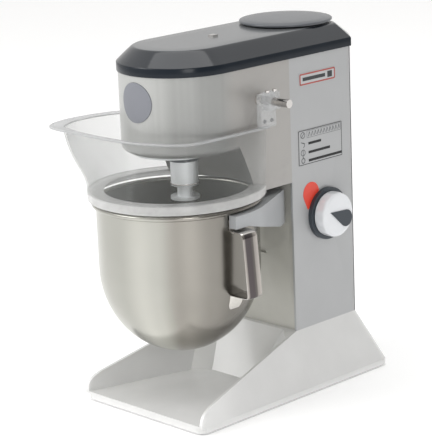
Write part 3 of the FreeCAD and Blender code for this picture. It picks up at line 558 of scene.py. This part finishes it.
def wall_section(rim, inward, bearing):
    """The wall leans from the ring out to the lip and swells at the chute's corner."""
    lip = lip_width(rim)
    swell = CHUTE_SWELL * corner_share(rim)
    outer, inner = [], []
    for i in range(WALL_STEPS + 1):
        share = i / WALL_STEPS
        z = WALL_FOOT + (WALL_TOP - WALL_FOOT) * share
        out = share + swell * math.sin(math.pi * share)
        outer.append(mix(ring_point(bearing, WALL_OUTER, z),
                         rim_point(rim, inward, lip, z), out))
        inner.append(mix(ring_point(bearing, WALL_INNER, z),
                         rim_point(rim, inward, lip + WALL_AT_LIP, z), out))
    return outer + inner[::-1]


def lip_section(rim, inward, bearing):
    """The rolled lip, from (inset, z) points."""
    lip = lip_width(rim)
    shape = [(lip + 2.8, 406.4), (lip - 0.2, 406.4), (1.6, 406.6), (0.3, 407.4), (0, 408.3),
             (0.4, 409.3), (1.5, 410), (3.6, 409.6), (lip - 1, 408.9), (lip + 1.6, 409),
             (lip + 2.8, 408.2)]
    return [rim_point(rim, inward, inset, z) for inset, z in shape]


def band_section(rim, inward, bearing):
    """The flanged ring over the bowl, from (radius, z) points."""
    shape = [(105, 323.2), (118.6, 323), (119.2, 314.4), (120, 313.8), (127, 313.8), (128, 314.6),
             (128, 325.2), (127.2, 326), (121, 325.9), (105, 325.9), (104.2, 325.3),
             (104.2, 323.8)]
    return [ring_point(bearing, radius, z) for radius, z in shape]


sweep("guard_wall", wall_section, CLEAR, "guard", "guard_shell")
sweep("guard_lip", lip_section, CLEAR_RIM, "guard")
sweep("guard_band", band_section, CLEAR_BAND, "guard")


# ---------------------------------------------------------------- top cover and cap
COVER_HALF = 90.5
COVER_SIDE_END = 161
COVER_CORNER = 64
COVER_REAR = 186
FACET_SHARE = 0.42         # how far a facet's ends move for each millimetre of inset
BAND_HEIGHT = 0.508        # in metres, as are the faces that it is compared with
FLAT_HEIGHT = 0.52875


def cover_outline(inset):
    """The round nose, the straight sides and the two rear facets of the lid."""
    half = COVER_HALF - inset
    nose = [(half * math.cos(math.radians(a)), NOSE_Y + half * math.sin(math.radians(a)))
            for a in range(0, -181, -4)]
    side = COVER_SIDE_END - inset * FACET_SHARE
    corner = COVER_CORNER - inset * FACET_SHARE
    rear = COVER_REAR - inset
    straight = [(-half, NOSE_Y + (side - NOSE_Y) * i / 6) for i in range(1, 7)]
    back = [(-corner, rear), (0, rear), (corner, rear)]
    return nose + straight + back + [(-x, y) for x, y in reversed(straight)]


COVER_ROWS = [
    (1.0, 495.0), (0.2, 495.4), (0, 496.2), (0, 507.2), (0.5, 508.2), (1.2, 508.9), (6, 513.4),
    (11, 518), (16, 522.4), (20, 525.8), (22.4, 527.6), (24.5, 528.6), (27.5, 529), (50, 529),
    (66, 529),
]


def make_cover():
    """The lid: a dark band, glossy slopes and a flat top painted paler as a painted reflection.
    """
    outlines = [[(x, y, z) for x, y in cover_outline(inset)] for inset, z in COVER_ROWS]
    count = len(outlines[0])
    points = [p for row in outlines for p in row]
    faces = sheet_faces(len(outlines), count, wrap_columns=True)
    faces += end_caps(len(outlines), count)
    lid = piece("lid", points, faces, COVER_GLOSS, "stand", "top_cover", sharp=28)
    lid.data.materials.append(COVER_BAND)
    lid.data.materials.append(COVER_TOP_REFLECTION)
    for face in lid.data.polygons:
        height = sum(lid.data.vertices[i].co.z for i in face.vertices) / len(face.vertices)
        if height < BAND_HEIGHT:
            face.material_index = 1
        # The flat top takes the paler painted reflection.
        if height > FLAT_HEIGHT:
            face.material_index = 2


make_cover()
CAP_CENTRE = (0, 118)
CAP_OUTLINE = [(1, 530.6), (60, 530.6), (66.5, 530.6), (68.6, 531.3), (69, 532.4), (68.9, 533.6),
               (68, 534.6), (66, 535.1), (64.6, 535.2), (63.8, 535.5), (52, 536.3), (36, 536.8),
               (18, 537), (1, 537)]
turned("vent_disc", CAP_OUTLINE, CAP_CENTRE, CAP_GLOSS, "stand", "vent_cap",
       sharp=50)
turned("vent_neck", [(1, 529), (46, 529), (46, 530.8), (1, 530.8)], CAP_CENTRE, COVER_BAND,
       "stand")


# ---------------------------------------------------------------- bowl handles
def handle_path():
    """Outer line of the strap in the plane across the machine."""
    path = [(113.5, 282.0, 0), (124, 282.0, 0), (134, 281.6, 0)]
    path += bend((136, 281.4, 0), (143.6, 281.0, 0), (144.4, 272, 0), 8)
    path += [mix((144.6, 268, 0), (150.6, 196, 0), i / 8) for i in range(9)]
    path += bend((150.8, 192, 0), (151, 185.2, 0), (143.5, 185.1, 0), 8)
    path += [(134, 185.0, 0), (124, 185.0, 0), (112.5, 185.2, 0)]
    return [(x, z) for x, z, _ in path]


STRAP_SECTION = [
    (-13.2, 2.5), (-14, 2.0), (-14, 1.3), (-12.6, 0.75), (-9, 0.35), (-4.5, 0.08), (0, 0),
    (4.5, 0.08), (9, 0.35), (12.6, 0.75), (14, 1.3), (14, 2.0), (13.2, 2.5), (6, 2.2), (-6, 2.2),
]


def make_handle(name, side):
    """A bent strap: its flat outer face carries the painted reflection streak, its edges are
    plain polished steel.
    """
    path = handle_path()
    points = []
    for i, (x, z) in enumerate(path):
        before = path[max(i - 1, 0)]
        after = path[min(i + 1, len(path) - 1)]
        along = Vector((after[0] - before[0], after[1] - before[1])).normalized()
        for y, depth in STRAP_SECTION:
            points.append((side * (x + along.y * depth), BOWL_Y + y, z - along.x * depth))
    count = len(STRAP_SECTION)
    faces = sheet_faces(len(path), count, wrap_columns=True) + end_caps(len(path), count)
    made = piece(name, points, faces, STRAP_REFLECTION_STEEL, "bowl_unit",
                 "bowl_handles" if side > 0 else None, sharp=40)
    made.data.materials.append(STEEL_POLISHED)
    # The outward flat face keeps the steel with the painted reflection streak.
    for face in made.data.polygons:
        if abs(face.normal.x) < 0.72 or face.normal.x * side < 0:
            face.material_index = 1


BOWL_RADIUS = 116.7
BOWL_SHOULDER = 212
BOWL_DEPTH = 127.7
TAB_SIDE = 9               # points along each side of a weld tab


def bowl_radius(z):
    """The bowl's outer radius at a height: a straight wall over a round bottom."""
    if z > BOWL_SHOULDER:
        return BOWL_RADIUS
    return BOWL_RADIUS * math.sqrt(max(1 - ((BOWL_SHOULDER - z) / BOWL_DEPTH) ** 2, 0))


def make_weld_tab(name, side, low, high, half):
    """A small plate on the bowl's wall that the strap is welded to."""
    last = TAB_SIDE - 1
    under = TAB_SIDE * TAB_SIDE
    points = []
    for lift in (0.9, -0.5):
        for r in range(TAB_SIDE):
            z = low + (high - low) * r / last
            narrow = half * (1 - 0.35 * max(0, 1 - r / 3) ** 2)
            for c in range(TAB_SIDE):
                y = narrow * (c / 4 - 1)
                reach = bowl_radius(z) + lift - (0.5 if c in (0, last) or r in (0, last) else 0)
                points.append((side * math.sqrt(reach ** 2 - y ** 2), BOWL_Y + y, z))
    faces = sheet_faces(TAB_SIDE, TAB_SIDE)
    faces += [tuple(reversed(f)) for f in sheet_faces(TAB_SIDE, TAB_SIDE, first=under)]
    edge = list(range(TAB_SIDE)) + [r * TAB_SIDE + last for r in range(1, TAB_SIDE)]
    edge += list(range(under - 2, last * TAB_SIDE - 1, -1))
    edge += [r * TAB_SIDE for r in range(last - 1, 0, -1)]
    for a, b in zip(edge, edge[1:] + edge[:1]):
        faces.append((b, a, a + under, b + under))
    piece(name, points, faces, WELD, "bowl_unit", sharp=50)


for letter, hand in (("right", 1), ("left", -1)):
    make_handle("strap_" + letter, hand)
    make_weld_tab("tab_low_" + letter, hand, 164, 186.5, 13)
    make_weld_tab("tab_high_" + letter, hand, 276, 296, 13)


# ---------------------------------------------------------------- small parts
def slab(name, x0, x1, y0, y1, z0, z1, material, body):
    """A plain plate with slightly broken edges."""
    corners = [(x, y, z) for z in (z0, z1) for y in (y0, y1) for x in (x0, x1)]
    faces = [(0, 2, 3, 1), (4, 5, 7, 6), (0, 1, 5, 4), (2, 6, 7, 3), (0, 4, 6, 2), (1, 3, 7, 5)]
    soften(piece(name, corners, faces, material, body, keep_flat=True), 0.4)


PLATE_X = 89.2
PRINT_LIFT = 0.12
PRINT_DEPTH = 0.2


def prints(name, shapes, material):
    """Flat marks on the plates of the right side, each from its corners in (y, z)."""
    points, faces = [], []
    for corners in shapes:
        first = len(points)
        count = len(corners)
        points += [(PLATE_X + PRINT_LIFT, y, z) for y, z in corners]
        points += [(PLATE_X - PRINT_DEPTH, y, z) for y, z in corners]
        faces.append(tuple(range(first, first + count)))
        for i in range(count):
            j = (i + 1) % count
            faces.append((first + j, first + i, first + count + i, first + count + j))
    piece(name, points, faces, material, "stand", keep_flat=True)


def stroke(start, end, width):
    """The corners of a straight stroke."""
    along = Vector((end[0] - start[0], end[1] - start[1])).normalized() * (width / 2)
    side = Vector((-along.y, along.x))
    return [(start[0] - side.x, start[1] - side.y), (end[0] - side.x, end[1] - side.y),
            (end[0] + side.x, end[1] + side.y), (start[0] + side.x, start[1] + side.y)]


def hoop(y, z, radius, width, start=0, end=360):
    """A ring, or part of one, as strokes."""
    steps = max(int((end - start) / 30), 3)
    angles = [math.radians(start + (end - start) * i / steps) for i in range(steps + 1)]
    places = [(y + radius * math.cos(a), z + radius * math.sin(a)) for a in angles]
    return [stroke(a, b, width) for a, b in zip(places, places[1:])]


def frame_lines(y0, y1, z0, z1, width):
    """The four strokes of a box."""
    return [stroke((y0, z0), (y1, z0), width), stroke((y0, z1), (y1, z1), width),
            stroke((y0, z0), (y0, z1), width), stroke((y1, z0), (y1, z1), width)]


prints("chart_frame", frame_lines(44.3, 136.7, 335.8, 386.2, 1.0), PRINT_DARK)
ticks = frame_lines(62, 135, 374.5, 384.5, 0.5)
for i in range(11):
    y = 65 + 6.4 * i
    ticks.append(stroke((y, 376), (y + 2.4, 383), 1.1))
    ticks.append(stroke((y + 2.4, 383), (y + 4.4, 376.5), 0.7))
marks = hoop(53, 379.5, 4.4, 1.1) + [stroke((50, 376.5), (56, 382.5), 1.0)]
marks += [stroke((49, 369.5), (56.5, 366.5), 1.2)] + hoop(53.5, 364.8, 3.2, 1.1, -90, 120)
marks += hoop(53, 353.5, 4.4, 1.1) + [stroke((53, 358), (53, 349), 0.9)]
marks += hoop(53, 341.8, 3.6, 1.4) + [stroke((53, 345), (53, 348), 1.2)]
prints("chart_ticks", ticks + marks, PRINT_GREY)
BARS = ((92, 365.8), (111, 352.6), (136, 340.4))
prints("chart_bars", [stroke((64.5, z), (end, z), 3.8) for end, z in BARS], PRINT_BLACK)
prints("name_frame", frame_lines(50.6, 124.4, 453.6, 468.4, 2.2), PRINT_RED)
prints("name_stripes", [stroke((56, 461), (104, 461), 5.2), stroke((109, 461), (119, 461), 9)],
       PRINT_DARK)


KNOB_Y = 100
KNOB_Z = 254.5
KNOB_STEPS = 144
KNOB_GRIPS = 12


def make_knob():
    """The white speed knob, with shallow grips round its side."""
    rows = [(95.5, 30.5, 0), (95.5, 32.6, 0), (96.2, 33.3, 0.3), (98, 33.5, 0.9), (103, 33.5, 1),
            (107.5, 33.4, 0.9), (109.6, 33, 0.4), (111.4, 32.2, 0), (112.6, 31, 0),
            (113, 29.2, 0), (113, 26, 0), (112.9, 24, 0), (112.9, 14, 0), (112.9, 1, 0)]
    points = []
    for x, radius, flute in rows:
        for i in range(KNOB_STEPS):
            angle = 2 * math.pi * i / KNOB_STEPS
            reach = radius - flute * (0.5 + 0.5 * math.cos(KNOB_GRIPS * angle))
            points.append((x, KNOB_Y + reach * math.cos(angle), KNOB_Z + reach * math.sin(angle)))
    faces = sheet_faces(len(rows), KNOB_STEPS, wrap_columns=True)
    faces += end_caps(len(rows), KNOB_STEPS, flip=True)
    piece("knob_body", points, faces, WHITE_GLOSS, "speed_knob", "knob", sharp=40)


make_knob()
HUB_X = ((HUB_LOW[0] + HUB_HIGH[0]) / 2 - MIDDLE_X) * 1000
HUB_Y = ((HUB_LOW[1] + HUB_HIGH[1]) / 2 - DATUM_Y) * 1000
turned("hub_collar", [(19.6, 371), (21.2, 371.2), (21.6, 372), (21.6, 375.2), (19.6, 375.9)],
       (HUB_X, HUB_Y), CHARCOAL, "planetary", closed=True, steps=64)
turned("hub_bead", [(19.4, 337.2), (20.3, 337.4), (20.5, 338.4), (20.3, 339.6), (19.4, 339.9)],
       (HUB_X, HUB_Y), STEEL_POLISHED, "planetary", closed=True, steps=64)
slab("slot_shutter", -29, 29, 36.7, 37.5, 190, 252, FRONT_PAINT, "bowl_carriage")
SCREW_Z = 419
SCREW_STEPS = 20


def make_screw(name, hand, y):
    """The head of a screw in a guard arm."""
    points = []
    for x, radius in ((106.9, 2.6), (107.9, 2.6), (108.4, 2.0), (108.4, 0.8)):
        for i in range(SCREW_STEPS):
            angle = 2 * math.pi * i / SCREW_STEPS
            points.append((hand * x, y + radius * math.cos(angle),
                           SCREW_Z + radius * math.sin(angle)))
    faces = sheet_faces(4, SCREW_STEPS, wrap_columns=True) + end_caps(4, SCREW_STEPS)
    piece(name, points, faces, STEEL_DARK, "guard", sharp=40)


for letter, hand in (("R", 1), ("L", -1)):
    for y in (-43, -29):
        make_screw("arm_screw_%s%d" % (letter, -y), hand, y)


# ---------------------------------------------------------------- camera, floor and light
LENS = 157.1
CAMERA_REACH = 2.90049
CAMERA_AIM = at(-43.15, 0, 239.35)
AZIMUTH = math.radians(45.75)
ELEVATION = math.radians(14.82)
ROLL = math.radians(-2.28)


def make_camera():
    """The camera stands 2.9 m off, to the front right of the machine and a little above."""
    data = bpy.data.cameras.new("camera")
    data.lens = LENS
    data.sensor_width = 36.0
    data.clip_end = 50
    camera = bpy.data.objects.new("camera", data)
    bpy.context.scene.collection.objects.link(camera)
    back = Vector((math.cos(ELEVATION) * math.sin(AZIMUTH),
                   -math.cos(ELEVATION) * math.cos(AZIMUTH), math.sin(ELEVATION)))
    right = Vector((math.cos(AZIMUTH), math.sin(AZIMUTH), 0))
    up = back.cross(right)
    turned_right = right * math.cos(ROLL) + up * math.sin(ROLL)
    turned_up = back.cross(turned_right)
    spot = CAMERA_AIM + back * CAMERA_REACH
    axes = Matrix((turned_right, turned_up, back)).transposed()
    camera.matrix_world = Matrix.Translation(spot) @ axes.to_4x4()
    bpy.context.scene.camera = camera


def make_floor():
    """A wide pale floor at the height of the table."""
    mesh = bpy.data.meshes.new("floor")
    reach = 6.0
    mesh.from_pydata([(-reach, -reach, 0), (reach, -reach, 0), (reach, reach, 0),
                      (-reach, reach, 0)], [], [(0, 1, 2, 3)])
    mesh.materials.append(FLOOR_WHITE)
    floor = bpy.data.objects.new("floor", mesh)
    bpy.context.scene.collection.objects.link(floor)


MIDDLE = Vector((0, 0, 0.25))


def area_light(name, place, size, power):
    """A soft box that faces the middle of the machine."""
    data = bpy.data.lights.new(name, "AREA")
    data.shape = "RECTANGLE"
    data.size = size[0]
    data.size_y = size[1]
    data.energy = power
    lamp = bpy.data.objects.new(name, data)
    bpy.context.scene.collection.objects.link(lamp)
    lamp.location = place
    lamp.rotation_euler = (MIDDLE - Vector(place)).to_track_quat("-Z", "Y").to_euler()


# Each side of the room that is toned: its direction, then how squarely something has to face
# it, from and to, and the brightness at those two.
ROOM_TONES = [
    ((0.95, 0.15, 0.05), (0.5, 0.98, 0.92, 0.3)),
    ((0.716, -0.698, 0.1), (0.6, 0.98, 1.0, 0.6)),
    ((-0.6, 0.7, 0.25), (0.3, 0.98, 1.0, 0.75)),
]


def make_light():
    """A white room with a darker side on the camera's right, so that metal has contrast."""
    world = bpy.data.worlds.new("studio")
    bpy.context.scene.world = world
    world.use_nodes = True
    nodes = world.node_tree.nodes
    links = world.node_tree.links
    place = nodes.new("ShaderNodeTexCoord")
    shade = None
    for toward, tones in ROOM_TONES:
        facing = nodes.new("ShaderNodeVectorMath")
        facing.operation = "DOT_PRODUCT"
        facing.inputs[1].default_value = Vector(toward).normalized()
        links.new(place.outputs["Generated"], facing.inputs[0])
        ramp = nodes.new("ShaderNodeMapRange")
        ramp.interpolation_type = "SMOOTHSTEP"
        for socket, value in zip(("From Min", "From Max", "To Min", "To Max"), tones):
            ramp.inputs[socket].default_value = value
        links.new(facing.outputs["Value"], ramp.inputs["Value"])
        if shade is None:
            shade = ramp.outputs["Result"]
            continue
        product = nodes.new("ShaderNodeMath")
        product.operation = "MULTIPLY"
        links.new(shade, product.inputs[0])
        links.new(ramp.outputs["Result"], product.inputs[1])
        shade = product.outputs["Value"]
    links.new(shade, nodes["Background"].inputs["Strength"])
    nodes["Background"].inputs["Color"].default_value = (1, 0.995, 0.985, 1)
    area_light("key", (-1.4, -2.4, 2.2), (1.8, 1.8), 34)
    area_light("overhead", (0.0, 0.0, 3.4), (3.0, 3.0), 30)
    area_light("front_fill", (2.5, -1.5, 0.95), (0.9, 1.1), 14)
    bpy.context.scene.view_settings.view_transform = "Standard"


make_camera()
make_floor()
make_light()
